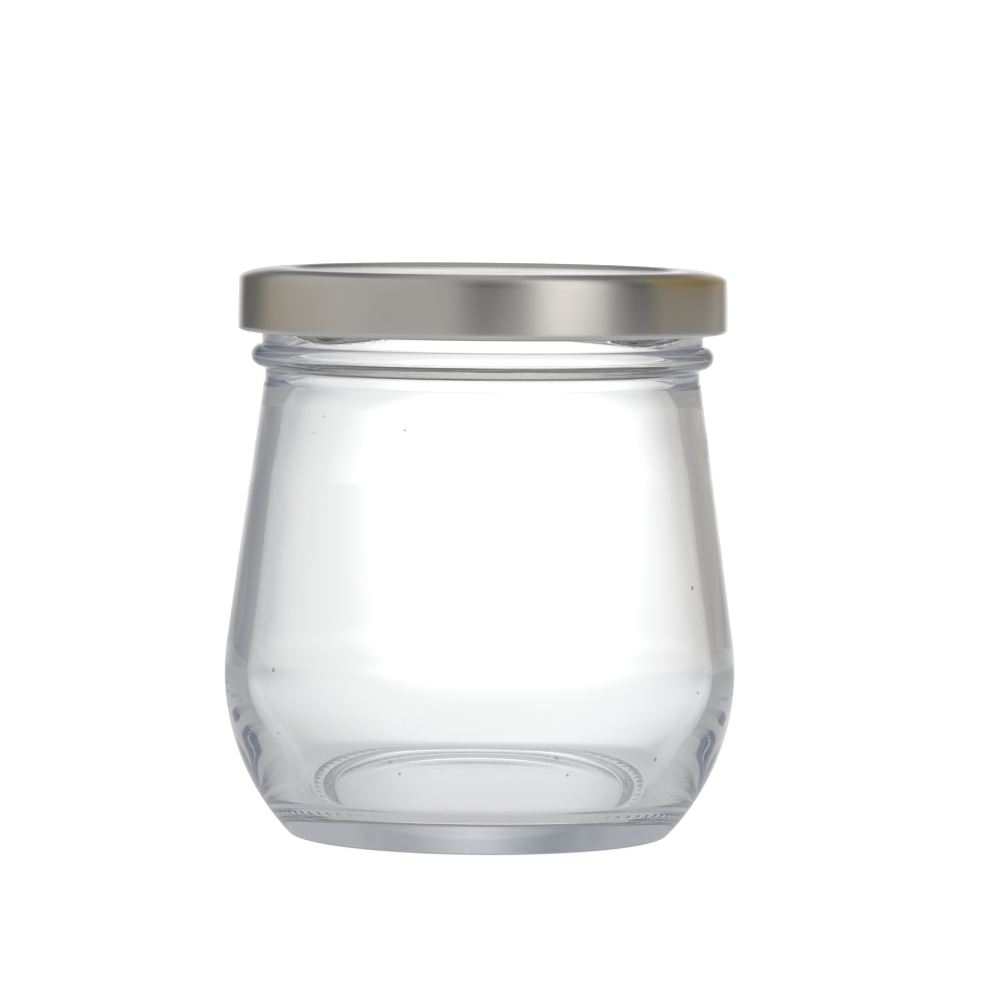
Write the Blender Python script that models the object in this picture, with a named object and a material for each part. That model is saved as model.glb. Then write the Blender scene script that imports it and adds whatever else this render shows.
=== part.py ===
"""Clear glass jar with a metal twist-off lid.

The jar stands on its base with +Z up its own axis, and the origin is the middle of the circle it
rests on. Its glass is one turned body: a domed push-up under the base, a low round belly, a wall
that tapers in to the mould's neck ring, a round bead, and a neck with four short thread ribs. The
lid is pressed from one thin sheet: a sunk panel, a low crest round it, a wide round shoulder, a
straight skirt and a hem curled inward, with four lugs that pass under the ribs. A ring of sealing
compound lies in the channel under the crest. Lengths are metres, written as millimetres times MM.
"""

import math

import bmesh
import bpy
from mathutils import Vector

MM = 0.001

# Turning
SEGMENTS = 60
MERGE_DISTANCE = 0.01 * MM
CONTACT_GAP = 0.3 * MM

# Jar, outside
BELLY_RADIUS = 35.65 * MM
BELLY_HEIGHT = 22.8 * MM
BELLY_CURVE = 32.5 * MM
TAPER_ANGLE = math.radians(7.63)
HEEL_FILLET = 1.0 * MM
NECK_RING_HEIGHT = 63.1 * MM
NECK_RING_STEP = 0.2 * MM
NECK_RING_CHAMFER = 0.25 * MM
BEAD_BOTTOM = 65.3 * MM
BEAD_CURVE = 1.65 * MM
BEAD_RADIUS = 32.3 * MM
NECK_RADIUS = 30.8 * MM
RIM_TOP = 77.4 * MM
RIM_FILLET = 1.3 * MM

# Jar, inside
BORE_RADIUS = 27.4 * MM
BORE_BOTTOM = 62.0 * MM
THROAT_RADIUS = 29.3 * MM
THROAT_HEIGHT = 50.0 * MM
WALL = 3.05 * MM
INNER_BELLY_CURVE = 19.5 * MM
INNER_BELLY_HEIGHT = 22.8 * MM
INNER_BELLY_END = math.radians(-23.5)
LOWER_WALL_CURVE = 38.0 * MM
FLOOR_HEIGHT = 5.4 * MM
FLOOR_RISE = 0.5 * MM
FLOOR_FILLET = 5.0 * MM

# Jar, underside
BEARING_INNER_RADIUS = 22.9 * MM
PUSH_UP_RADIUS = 20.2 * MM
PUSH_UP_EDGE = 1.3 * MM
PUSH_UP_CENTRE = 1.9 * MM

# Thread ribs on the neck
RIB_COUNT = 4
FIRST_RIB = math.radians(-146.5)
RIB_SPAN = math.radians(62.0)
RIB_STEPS = 10
RIB_FADE = 0.25
RIB_LEAST = 0.15
RIB_LOW = 70.3 * MM
RIB_CLIMB = 5.2 * MM
RIB_REACH = 1.2 * MM
RIB_ROOT = 0.6 * MM
RIB_HEIGHT = 1.9 * MM
RIB_CREST = 0.8 * MM

# Lid
SHEET = 0.5 * MM
LID_RADIUS = 34.15 * MM
LID_BOTTOM = 70.3 * MM
LID_TOP = 79.1 * MM
SHOULDER_WIDTH = 6.15 * MM
SHOULDER_DROP = 1.5 * MM
PANEL_RADIUS = 24.5 * MM
PANEL_SINK = 0.5 * MM
HEM_CURVE = 0.7 * MM
HEM_TURN = math.radians(-205.0)

# Lugs of the hem
LUG_SPAN = math.radians(12.0)
LUG_SHARE = 0.86
LUG_STEPS = 3
LUG_ROOT_RADIUS = 33.0 * MM
LUG_REACH = 1.5 * MM
LUG_LOW = 70.55 * MM
LUG_HIGH = 71.45 * MM
LUG_SLOPE = 0.25 * MM

# Sealing compound
SEAL_INNER_RADIUS = 28.6 * MM
SEAL_OUTER_RADIUS = 31.0 * MM


def clear_scene():
    """Remove every object of the scene."""
    for thing in list(bpy.data.objects):
        bpy.data.objects.remove(thing, do_unlink=True)


def make_material(name, colour, roughness, metallic=0.0, transmission=0.0):
    """A Principled material with plain values."""
    material = bpy.data.materials.new(name)
    material.use_nodes = True
    shader = material.node_tree.nodes["Principled BSDF"]
    shader.inputs["Base Color"].default_value = (*colour, 1.0)
    shader.inputs["Roughness"].default_value = roughness
    shader.inputs["Metallic"].default_value = metallic
    shader.inputs["Transmission Weight"].default_value = transmission
    material.diffuse_color = (*colour, 1.0)
    return material


def arc(centre, radius, start, end, steps):
    """Points (r, z) on an arc, both ends included, angles from +r towards +z."""
    turn = (end - start) / steps
    angles = [start + turn * step for step in range(steps + 1)]
    return [(centre[0] + radius * math.cos(a), centre[1] + radius * math.sin(a)) for a in angles]


def fillet_onto_level(centre, radius, level, fillet):
    """The fillet inside a circle and on a level line: its centre, and its angle on the circle."""
    height = level + fillet
    reach = math.sqrt((radius - fillet) ** 2 - (centre[1] - height) ** 2)
    return (centre[0] + reach, height), math.atan2(height - centre[1], reach)


def dome(radius, middle, edge, steps):
    """Points of a shallow dome from its edge in to the axis, the edge left out."""
    shares = [1.0 - (step + 1) / steps for step in range(steps)]
    return [(radius * share, middle + (edge - middle) * share**2) for share in shares]


def outer_wall_radius(height):
    """Radius of the tapered outer wall above the belly."""
    tangent_height = BELLY_HEIGHT + BELLY_CURVE * math.sin(TAPER_ANGLE)
    tangent_radius = BELLY_RADIUS - BELLY_CURVE * (1.0 - math.cos(TAPER_ANGLE))
    return tangent_radius - (height - tangent_height) * math.tan(TAPER_ANGLE)


def inside_points():
    """The jar's inner surface, from the middle of the floor up to the foot of the bore."""
    belly_centre = (BELLY_RADIUS - WALL - INNER_BELLY_CURVE, INNER_BELLY_HEIGHT)
    offset = INNER_BELLY_CURVE - LOWER_WALL_CURVE
    lower_centre = (
        belly_centre[0] + offset * math.cos(INNER_BELLY_END),
        belly_centre[1] + offset * math.sin(INNER_BELLY_END),
    )
    corner, leave = fillet_onto_level(lower_centre, LOWER_WALL_CURVE, FLOOR_HEIGHT, FLOOR_FILLET)
    floor = dome(corner[0], FLOOR_HEIGHT + FLOOR_RISE, FLOOR_HEIGHT, 3)
    points = floor[::-1]
    points += arc(corner, FLOOR_FILLET, -math.pi / 2, leave, 5)
    points += arc(lower_centre, LOWER_WALL_CURVE, leave, INNER_BELLY_END, 3)[1:]
    points += arc(belly_centre, INNER_BELLY_CURVE, INNER_BELLY_END, 0.0, 3)[1:]
    points += arc(belly_centre, INNER_BELLY_CURVE, 0.0, TAPER_ANGLE, 1)[1:]
    return points + throat_points()


def throat_points():
    """The bend from the tapered wall into the bore, a cubic that leaves along the wall."""
    climb = BORE_BOTTOM - THROAT_HEIGHT
    width = THROAT_RADIUS - BORE_RADIUS
    slope = -math.tan(TAPER_ANGLE) * climb
    steps = 4
    points = []
    for step in range(steps + 1):
        t = step / steps
        bend = width * (2.0 * t**3 - 3.0 * t**2 + 1.0) + slope * (t**3 - 2.0 * t**2 + t)
        points.append((BORE_RADIUS + bend, THROAT_HEIGHT + climb * t))
    return points


def rim_points():
    """The rounded rim, from the bore over the top to the neck."""
    height = RIM_TOP - RIM_FILLET
    inner = arc((BORE_RADIUS + RIM_FILLET, height), RIM_FILLET, math.pi, math.pi / 2, 3)
    outer = arc((NECK_RADIUS - RIM_FILLET, height), RIM_FILLET, math.pi / 2, 0.0, 3)
    return inner + outer


def bead_points():
    """The bead below the neck, from its top down."""
    centre = (BEAD_RADIUS - BEAD_CURVE, BEAD_BOTTOM + BEAD_CURVE)
    top = math.acos((NECK_RADIUS - centre[0]) / BEAD_CURVE)
    return arc(centre, BEAD_CURVE, top, 0.0, 3) + arc(centre, BEAD_CURVE, 0.0, -math.pi / 2, 4)[1:]


def outside_points():
    """The jar's outer surface, from under the bead down to the middle of the underside."""
    ring_radius = outer_wall_radius(NECK_RING_HEIGHT)
    collar_radius = ring_radius - NECK_RING_STEP
    belly_centre = (BELLY_RADIUS - BELLY_CURVE, BELLY_HEIGHT)
    heel, leave = fillet_onto_level(belly_centre, BELLY_CURVE, 0.0, HEEL_FILLET)
    points = [
        (collar_radius, BEAD_BOTTOM - NECK_RING_CHAMFER),
        (collar_radius, NECK_RING_HEIGHT + NECK_RING_CHAMFER),
        (ring_radius, NECK_RING_HEIGHT),
    ]
    points += arc(belly_centre, BELLY_CURVE, TAPER_ANGLE, 0.0, 2)
    points += arc(belly_centre, BELLY_CURVE, 0.0, leave, 8)[1:]
    points += arc(heel, HEEL_FILLET, leave, -math.pi / 2, 2)[1:]
    return points + underside_points()


def underside_points():
    """The underside, from the bearing ring's inner edge up into the push-up and in to the axis."""
    points = [(BEARING_INNER_RADIUS, 0.0)]
    slope_steps = 3
    for step in range(1, slope_steps + 1):
        share = step / slope_steps
        radius = BEARING_INNER_RADIUS + (PUSH_UP_RADIUS - BEARING_INNER_RADIUS) * share
        points.append((radius, 0.5 * PUSH_UP_EDGE * (1.0 - math.cos(math.pi * share))))
    return points + dome(PUSH_UP_RADIUS, PUSH_UP_CENTRE, PUSH_UP_EDGE, 3)


def panel_points(level):
    """The sunk panel from the axis, and its smooth rise to the crest at the given level."""
    crest = LID_RADIUS - SHOULDER_WIDTH
    steps = 4
    points = [(0.0, level - PANEL_SINK)]
    for step in range(steps + 1):
        share = step / steps
        sink = 0.5 * PANEL_SINK * (1.0 + math.cos(math.pi * share))
        points.append((PANEL_RADIUS + (crest - PANEL_RADIUS) * share, level - sink))
    return points


def shoulder_points(inset, steps):
    """The shoulder, a quarter of an ellipse from the crest down to the skirt."""
    crest = LID_RADIUS - SHOULDER_WIDTH
    foot = LID_TOP - SHOULDER_DROP
    angles = [0.5 * math.pi * (1.0 - step / steps) for step in range(steps + 1)]
    width = SHOULDER_WIDTH - inset
    drop = SHOULDER_DROP - inset
    return [(crest + width * math.cos(a), foot + drop * math.sin(a)) for a in angles]


def lid_profile():
    """The section of the lid's sheet, down its outside and back along its inside."""
    hem_centre = (LID_RADIUS - HEM_CURVE, LID_BOTTOM + HEM_CURVE)
    outer = panel_points(LID_TOP) + shoulder_points(0.0, 7)[1:]
    outer += arc(hem_centre, HEM_CURVE, 0.0, -math.pi / 2, 3)
    outer += arc(hem_centre, HEM_CURVE, -math.pi / 2, HEM_TURN, 4)[1:]
    inner = arc(hem_centre, HEM_CURVE - SHEET, HEM_TURN, 0.0, 4)
    inner += shoulder_points(SHEET, 5)[::-1]
    inner += panel_points(LID_TOP - SHEET)[-2::-1]
    return outer + inner


def seal_top(radius):
    """Height of the sealing ring's upper side, one gap under the lid's sheet."""
    share = (radius - LID_RADIUS + SHOULDER_WIDTH) / (SHOULDER_WIDTH - SHEET)
    curve = (SHOULDER_DROP - SHEET) * math.sqrt(1.0 - share**2)
    return LID_TOP - SHOULDER_DROP + curve - CONTACT_GAP


def seal_profile():
    """The closed section of the sealing ring."""
    bottom = RIM_TOP + CONTACT_GAP
    return [
        (SEAL_OUTER_RADIUS, seal_top(SEAL_OUTER_RADIUS)),
        (SEAL_OUTER_RADIUS, bottom),
        (SEAL_INNER_RADIUS, bottom),
        (SEAL_INNER_RADIUS, seal_top(SEAL_INNER_RADIUS)),
        (SEAL_OUTER_RADIUS, seal_top(SEAL_OUTER_RADIUS)),
    ]


def turned(name, profile, material):
    """A body turned about Z from points (r, z) that run down its outer side."""
    closed = profile[0] == profile[-1]
    points = profile[:-1] if closed else profile
    edges = [(index, index + 1) for index in range(len(points) - 1)]
    if closed:
        edges.append((len(points) - 1, 0))
    mesh = bpy.data.meshes.new(name)
    mesh.from_pydata([(r, 0.0, z) for r, z in points], edges, [])
    mesh.materials.append(material)
    body = bpy.data.objects.new(name, mesh)
    bpy.context.scene.collection.objects.link(body)
    screw = body.modifiers.new("Turn", "SCREW")
    screw.axis = "Z"
    screw.steps = SEGMENTS
    screw.render_steps = SEGMENTS
    screw.use_merge_vertices = True
    screw.merge_threshold = MERGE_DISTANCE
    screw.use_smooth_shade = True
    return body


def swept(name, sections):
    """A closed body through flat sections of equal vertex count, with a cap at each end."""
    bm = bmesh.new()
    rings = [[bm.verts.new(point) for point in section] for section in sections]
    for ring, next_ring in zip(rings, rings[1:]):
        for corner in range(len(ring)):
            bm.faces.new((ring[corner - 1], ring[corner], next_ring[corner], next_ring[corner - 1]))
    bm.faces.new(rings[0])
    bm.faces.new(rings[-1])
    bmesh.ops.recalc_face_normals(bm, faces=bm.faces)
    mesh = bpy.data.meshes.new(name)
    bm.to_mesh(mesh)
    bm.free()
    body = bpy.data.objects.new(name, mesh)
    bpy.context.scene.collection.objects.link(body)
    return body


def ring_section(corners, angle):
    """Points (r, z) placed on the half plane at an angle about Z."""
    return [Vector((r * math.cos(angle), r * math.sin(angle), z)) for r, z in corners]


def rib_start(index):
    """The angle about Z where a thread rib begins."""
    return FIRST_RIB + index * math.tau / RIB_COUNT


def thread_rib(index):
    """One thread rib that starts level, climbs round the neck and fades out at both ends."""
    sections = []
    for step in range(RIB_STEPS + 1):
        share = step / RIB_STEPS
        from_end = min(share, 1.0 - share) / RIB_FADE
        swell = max(RIB_LEAST, math.sin(0.5 * math.pi * min(1.0, from_end)))
        middle = RIB_LOW + RIB_CLIMB * share**2
        crest = NECK_RADIUS + RIB_REACH * swell
        corners = [
            (NECK_RADIUS - RIB_ROOT, middle - 0.5 * RIB_HEIGHT * swell),
            (crest, middle - 0.5 * RIB_CREST * swell),
            (crest, middle + 0.5 * RIB_CREST * swell),
            (NECK_RADIUS - RIB_ROOT, middle + 0.5 * RIB_HEIGHT * swell),
        ]
        sections.append(ring_section(corners, rib_start(index) + RIB_SPAN * share))
    return swept(f"rib_shape_{index + 1}", sections)


def lid_lug(index):
    """One inward lug of the hem, under the high end of its thread rib."""
    middle = rib_start(index) + LUG_SHARE * RIB_SPAN
    tip = LUG_ROOT_RADIUS - LUG_REACH
    corners = [
        (LUG_ROOT_RADIUS, LUG_LOW),
        (LUG_ROOT_RADIUS, LUG_HIGH),
        (tip, LUG_HIGH - LUG_SLOPE),
        (tip, LUG_LOW + LUG_SLOPE),
    ]
    angles = [middle + LUG_SPAN * (step / LUG_STEPS - 0.5) for step in range(LUG_STEPS + 1)]
    return swept(f"lug_shape_{index + 1}", [ring_section(corners, angle) for angle in angles])


def join_shape(body, shape):
    """Union a guide shape into a body."""
    union = body.modifiers.new(shape.name, "BOOLEAN")
    union.operation = "UNION"
    union.object = shape
    shape.hide_render = True
    shape.display_type = "WIRE"


def build_jar(root):
    """The glass body with its thread ribs."""
    glass = make_material("clear_glass", (0.93, 0.95, 0.97), 0.02, transmission=1.0)
    jar = turned("jar", inside_points() + rim_points() + bead_points() + outside_points(), glass)
    for index in range(RIB_COUNT):
        join_shape(jar, thread_rib(index))
    jar.parent = root


def build_lid(root):
    """The pressed lid with its hem lugs, and the sealing ring under it."""
    tinplate = make_material("tinplate", (0.62, 0.61, 0.585), 0.22, metallic=1.0)
    compound = make_material("sealing_compound", (0.82, 0.81, 0.78), 0.55)
    lid = turned("lid", lid_profile(), tinplate)
    for index in range(RIB_COUNT):
        join_shape(lid, lid_lug(index))
    lid.parent = root
    seal = turned("lid_seal", seal_profile(), compound)
    seal.parent = root


def main():
    """Build the jar and its lid under one empty at the middle of the base."""
    clear_scene()
    root = bpy.data.objects.new("jar_with_lid", None)
    bpy.context.scene.collection.objects.link(root)
    build_jar(root)
    build_lid(root)


main()
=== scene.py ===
"""Dresses the small round-bellied glass jar and its twist-off lid.

The jar, the lid and the sealing ring are surfaces turned about Z. Each is a profile of radius and
height carried round the axis, with relief added as a function of the angle: thread ribs, the
knurled bearing ring, the slight unevenness of pressed glass, and the lugs of the hem. A few seeds,
which are tiny bubbles, lie in the jar's wall.
Lengths are metres, written as millimetres times MM. Angles are degrees in names that end in _deg.
"""

import enum
import logging
import math
from dataclasses import dataclass, field

import bpy
import mathutils
import numpy as np
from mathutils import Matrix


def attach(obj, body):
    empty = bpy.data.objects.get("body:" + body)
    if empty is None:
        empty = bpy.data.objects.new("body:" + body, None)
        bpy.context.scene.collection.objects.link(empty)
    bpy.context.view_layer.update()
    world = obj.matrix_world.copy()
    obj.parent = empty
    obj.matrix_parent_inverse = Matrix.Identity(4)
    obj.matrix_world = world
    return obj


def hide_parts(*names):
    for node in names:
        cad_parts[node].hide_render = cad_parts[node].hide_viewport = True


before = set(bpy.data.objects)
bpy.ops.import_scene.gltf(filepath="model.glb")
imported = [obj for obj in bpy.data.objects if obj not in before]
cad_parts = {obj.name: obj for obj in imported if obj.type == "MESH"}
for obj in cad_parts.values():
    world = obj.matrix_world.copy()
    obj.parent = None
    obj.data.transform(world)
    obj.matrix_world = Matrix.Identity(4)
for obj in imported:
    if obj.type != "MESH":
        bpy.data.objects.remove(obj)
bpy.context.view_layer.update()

MM = 0.001
BODY = "root"
Colour = tuple[float, float, float]
Pair = tuple[float, float]
Tree = bpy.types.NodeTree
Socket = bpy.types.NodeSocket
log = logging.getLogger("jar_scene")


# Turned shapes


def arc(centre: Pair, radius: float, start_deg: float, end_deg: float, count: int) -> np.ndarray:
    """Points on an arc: centre plus radius times the cosine and sine of evenly spaced angles.

    Args:
        centre: radius and height of the arc's centre.
        radius: the arc's own radius.
        start_deg: first angle, from outward towards up.
        end_deg: last angle.
        count: number of points, both ends included.

    Returns:
        An array of shape (count, 2) of radius and height.
    """
    return ellipse_arc(centre, (radius, radius), start_deg, end_deg, count)


def ellipse_arc(centre: Pair, reach: Pair, start_deg: float, end_deg: float, count: int) -> np.ndarray:
    """Points on an ellipse's arc: centre plus each half axis times the cosine or sine of the angle.

    Args:
        centre: radius and height of the centre.
        reach: half axes outward and upward.
        start_deg: first angle, from outward towards up.
        end_deg: last angle.
        count: number of points, both ends included.

    Returns:
        An array of shape (count, 2) of radius and height.
    """
    angles = np.radians(np.linspace(start_deg, end_deg, count))
    return np.column_stack((centre[0] + reach[0] * np.cos(angles), centre[1] + reach[1] * np.sin(angles)))


def straight(start: Pair, end: Pair, count: int) -> np.ndarray:
    """Evenly spaced points on the line from start to end.

    Args:
        start: radius and height of the first point.
        end: radius and height of the last point.
        count: number of points, both ends included.

    Returns:
        An array of shape (count, 2).
    """
    share = np.linspace(0.0, 1.0, count)[:, None]
    return np.asarray(start) * (1.0 - share) + np.asarray(end) * share


def joined(*runs: np.ndarray) -> np.ndarray:
    """Runs of points end to end, with each point that repeats the one before it left out.

    Args:
        runs: arrays of shape (n, 2).

    Returns:
        One array of shape (n, 2).
    """
    points = np.concatenate(runs)
    step = np.linalg.norm(np.diff(points, axis=0), axis=1)
    return points[np.concatenate(([True], step > 0.002 * MM))]


def fillet_onto_level(centre: Pair, radius: float, level: float, fillet: float) -> tuple[Pair, float]:
    """The fillet inside a circle and on a level line.

    Its centre is one fillet above the line and radius less fillet from the circle's centre.

    Args:
        centre: radius and height of the circle's centre.
        radius: the circle's radius.
        level: the height of the line.
        fillet: the fillet's radius.

    Returns:
        The fillet's centre, and its angle on the circle in degrees.
    """
    height = level + fillet
    reach = math.sqrt((radius - fillet) ** 2 - (centre[1] - height) ** 2)
    return (centre[0] + reach, height), math.degrees(math.atan2(height - centre[1], reach))


def bump(distance: np.ndarray, half_width: float) -> np.ndarray:
    """A smooth hill: half of one plus the cosine, one at distance zero and zero past half_width.

    Args:
        distance: distance from the hill's middle.
        half_width: where the hill ends.

    Returns:
        Heights from 0 to 1, of distance's shape.
    """
    share = np.clip(np.abs(distance) / half_width, 0.0, 1.0)
    return 0.5 + 0.5 * np.cos(math.pi * share)


def ramp(value: np.ndarray, start: float, end: float) -> np.ndarray:
    """A smooth rise from 0 at start to 1 at end: three times the share squared less twice its cube.

    Args:
        value: where to read it.
        start: where it is 0.
        end: where it is 1.

    Returns:
        Values from 0 to 1, of value's shape.
    """
    share = np.clip((value - start) / (end - start), 0.0, 1.0)
    return share * share * (3.0 - 2.0 * share)


@dataclass
class TurnedShape:
    """A profile carried round Z as a grid of rows and columns.

    Attributes:
        profile: radius and height of each row, shape (rows, 2).
        segments: number of columns.
        closed: True if the last row joins the first, as on a ring.
    """

    profile: np.ndarray
    segments: int
    closed: bool = False
    radius: np.ndarray = field(init=False)
    height: np.ndarray = field(init=False)
    angle: np.ndarray = field(init=False)

    def __post_init__(self) -> None:
        """Spread the profile over the grid."""
        self.angle = np.linspace(0.0, math.tau, self.segments, endpoint=False)[None, :]
        self.radius = np.repeat(self.profile[:, :1], self.segments, axis=1)
        self.height = np.repeat(self.profile[:, 1:], self.segments, axis=1)

    def points(self) -> np.ndarray:
        """The grid as x = radius cos angle, y = radius sin angle, z = height.

        Returns:
            An array of shape (rows * segments, 3).
        """
        x = self.radius * np.cos(self.angle)
        y = self.radius * np.sin(self.angle)
        return np.stack((x, y, self.height), axis=-1).reshape(-1, 3)

    def faces(self) -> tuple[np.ndarray, np.ndarray]:
        """Quads between neighbouring rows, and fans of triangles where an end row lies on the axis.

        Returns:
            The quads and the triangles.
        """
        rows, columns = self.radius.shape
        index = np.arange(rows * columns).reshape(rows, columns)
        if not self.closed:
            index[0, :] = index[0, 0]
            index[-1, :] = index[-1, 0]
        ring = np.vstack((index, index[:1])) if self.closed else index
        low, high = ring[:-1], ring[1:]
        low_next, high_next = np.roll(low, -1, axis=1), np.roll(high, -1, axis=1)
        quads = np.stack((low, high, high_next, low_next), axis=-1)
        if self.closed:
            return quads.reshape(-1, 4), np.zeros((0, 3), int)
        first = np.stack((low[0], high[0], high_next[0]), axis=-1)
        last = np.stack((low[-1], high[-1], low_next[-1]), axis=-1)
        return quads[1:-1].reshape(-1, 4), np.vstack((first, last))

    def build(self, name: str, hollows: tuple[np.ndarray, np.ndarray] | None = None) -> bpy.types.Object:
        """Make the mesh object, with every face smooth and pointing outward.

        Args:
            name: the object's name.
            hollows: points and triangles of closed bubbles inside the solid, which face into the bubble.

        Returns:
            The new object, at the origin.
        """
        quads, triangles = self.faces()
        used, flat = np.unique(np.concatenate((quads.ravel(), triangles.ravel())), return_inverse=True)
        points = self.points()[used]
        if hollows is not None:
            flat = np.concatenate((flat, hollows[1].ravel() + len(points)))
            points = np.vstack((points, hollows[0]))
            triangles = np.vstack((triangles, hollows[1]))
        sizes = np.concatenate((np.full(len(quads), 4), np.full(len(triangles), 3)))
        mesh = bpy.data.meshes.new(name)
        mesh.vertices.add(len(points))
        mesh.vertices.foreach_set("co", points.astype(np.float32).ravel())
        mesh.loops.add(len(flat))
        mesh.loops.foreach_set("vertex_index", flat.astype(np.int32))
        mesh.polygons.add(len(sizes))
        starts = np.concatenate(([0], np.cumsum(sizes)[:-1]))
        mesh.polygons.foreach_set("loop_start", starts.astype(np.int32))
        mesh.polygons.foreach_set("use_smooth", np.ones(len(sizes), bool))
        mesh.update(calc_edges=True)
        mesh.validate()
        piece = bpy.data.objects.new(name, mesh)
        bpy.context.scene.collection.objects.link(piece)
        return piece


# Finishes


class Look(enum.Enum):
    """Which finish a piece takes, named as the record's material slots."""

    GLASS = "clear_glass"
    TINPLATE = "tinplate"
    COMPOUND = "sealing_compound"


def new_material(name: str) -> tuple[bpy.types.Material, Tree, bpy.types.Node]:
    """A material with nodes.

    Args:
        name: the material's name.

    Returns:
        The material, its node tree and its Principled shader.
    """
    material = bpy.data.materials.new(name)
    material.use_nodes = True
    return material, material.node_tree, material.node_tree.nodes["Principled BSDF"]


def feed(tree: Tree, value: Socket | Colour | float, slot: Socket) -> None:
    """Link a socket to a slot, or set the slot to a plain value.

    Args:
        tree: the nodes.
        value: a socket, colour, vector or number.
        slot: the input that takes it.
    """
    if isinstance(value, bpy.types.NodeSocket):
        tree.links.new(value, slot)
    else:
        slot.default_value = value


def calculate(tree: Tree, operation: str, *values: Socket | float) -> Socket:
    """One step of arithmetic.

    Args:
        tree: the nodes to add to.
        operation: the Math node's operation.
        values: what it works on, in order.

    Returns:
        The result.
    """
    node = tree.nodes.new("ShaderNodeMath")
    node.operation = operation
    for value, slot in zip(values, node.inputs):
        feed(tree, value, slot)
    return node.outputs["Value"]


def vector_step(tree: Tree, operation: str, *values: Socket | tuple[float, float, float]) -> bpy.types.Node:
    """One step of vector arithmetic.

    Args:
        tree: the nodes to add to.
        operation: the Vector Math node's operation.
        values: what it works on, in order.

    Returns:
        The node, whose Vector or Value output holds the result.
    """
    node = tree.nodes.new("ShaderNodeVectorMath")
    node.operation = operation
    for value, slot in zip(values, node.inputs):
        feed(tree, value, slot)
    return node


def parts_of(tree: Tree, vector: Socket) -> bpy.types.NodeOutputs:
    """The X, Y and Z of a vector, as outputs of those names.

    Args:
        tree: the nodes to add to.
        vector: the vector.

    Returns:
        The outputs.
    """
    node = tree.nodes.new("ShaderNodeSeparateXYZ")
    tree.links.new(vector, node.inputs["Vector"])
    return node.outputs


def noise(tree: Tree, scale: tuple[float, float, float], detail: float, size: float = 1.0) -> Socket:
    """Noise on Object coordinates.

    Args:
        tree: the material's nodes.
        scale: cells per metre along X, Y and Z.
        detail: octaves of the noise.
        size: further scale of all three.

    Returns:
        The noise's value, about 0.5 on average.
    """
    place = tree.nodes.new("ShaderNodeTexCoord")
    mapping = tree.nodes.new("ShaderNodeMapping")
    mapping.inputs["Scale"].default_value = scale
    texture = tree.nodes.new("ShaderNodeTexNoise")
    texture.inputs["Scale"].default_value = size
    texture.inputs["Detail"].default_value = detail
    tree.links.new(place.outputs["Object"], mapping.inputs["Vector"])
    tree.links.new(mapping.outputs["Vector"], texture.inputs["Vector"])
    return texture.outputs["Fac"]


def ranged(tree: Tree, value: Socket, low: float, high: float) -> Socket:
    """Spread a noise value from low to high.

    Args:
        tree: the material's nodes.
        value: the noise.
        low: what 0.3 becomes.
        high: what 0.7 becomes.

    Returns:
        The spread value.
    """
    node = tree.nodes.new("ShaderNodeMapRange")
    node.inputs["From Min"].default_value = 0.3
    node.inputs["From Max"].default_value = 0.7
    node.inputs["To Min"].default_value = low
    node.inputs["To Max"].default_value = high
    tree.links.new(value, node.inputs["Value"])
    return node.outputs["Result"]


def relief(tree: Tree, shader: bpy.types.Node, height: Socket, strength: float, distance: float) -> None:
    """Feed a height into the shader's normal.

    Args:
        tree: the material's nodes.
        shader: the Principled shader.
        height: the height's value.
        strength: share of the relief that shows.
        distance: metres for a height of one.
    """
    node = tree.nodes.new("ShaderNodeBump")
    node.inputs["Strength"].default_value = strength
    node.inputs["Distance"].default_value = distance
    tree.links.new(height, node.inputs["Height"])
    tree.links.new(node.outputs["Normal"], shader.inputs["Normal"])


@dataclass(frozen=True)
class ClearGlass:
    """Soda-lime glass: clear, faintly blue through its thickness, with the ripple of a pressed wall."""

    ior: float = 1.52
    ripple_per_metre: float = 90.0
    ripple_depth: float = 0.004 * MM
    tint: Colour = (0.55, 0.74, 1.0)
    tint_density: float = 3.5

    def make(self) -> bpy.types.Material:
        """Build the material.

        Returns:
            The glass.
        """
        material, tree, shader = new_material("clear_glass_finish")
        shader.inputs["Base Color"].default_value = (1.0, 1.0, 1.0, 1.0)
        shader.inputs["Roughness"].default_value = 0.0
        shader.inputs["IOR"].default_value = self.ior
        shader.inputs["Transmission Weight"].default_value = 1.0
        ripple = noise(tree, (1.0, 1.0, 0.6), 2.0, self.ripple_per_metre)
        relief(tree, shader, ripple, 1.0, self.ripple_depth)
        inside = tree.nodes.new("ShaderNodeVolumeAbsorption")
        inside.inputs["Color"].default_value = (*self.tint, 1.0)
        inside.inputs["Density"].default_value = self.tint_density
        tree.links.new(inside.outputs["Volume"], tree.nodes["Material Output"].inputs["Volume"])
        return material


@dataclass(frozen=True)
class RolledTinplate:
    """Silver tinplate: warm grey metal with a fine rolled grain and slightly uneven polish."""

    colour: Colour = (0.66, 0.645, 0.62)
    smoothest: float = 0.14
    roughest: float = 0.22
    grain_across: float = 9000.0
    grain_along: float = 260.0

    def make(self) -> bpy.types.Material:
        """Build the material.

        Returns:
            The tinplate.
        """
        material, tree, shader = new_material("tinplate_finish")
        shader.inputs["Base Color"].default_value = (*self.colour, 1.0)
        shader.inputs["Metallic"].default_value = 1.0
        grain = noise(tree, (self.grain_along, self.grain_across, self.grain_across), 2.0)
        haze = noise(tree, (1.0, 1.0, 1.0), 3.0, 55.0)
        tree.links.new(ranged(tree, haze, self.smoothest, self.roughest), shader.inputs["Roughness"])
        relief(tree, shader, grain, 0.12, 0.004 * MM)
        return material


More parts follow.
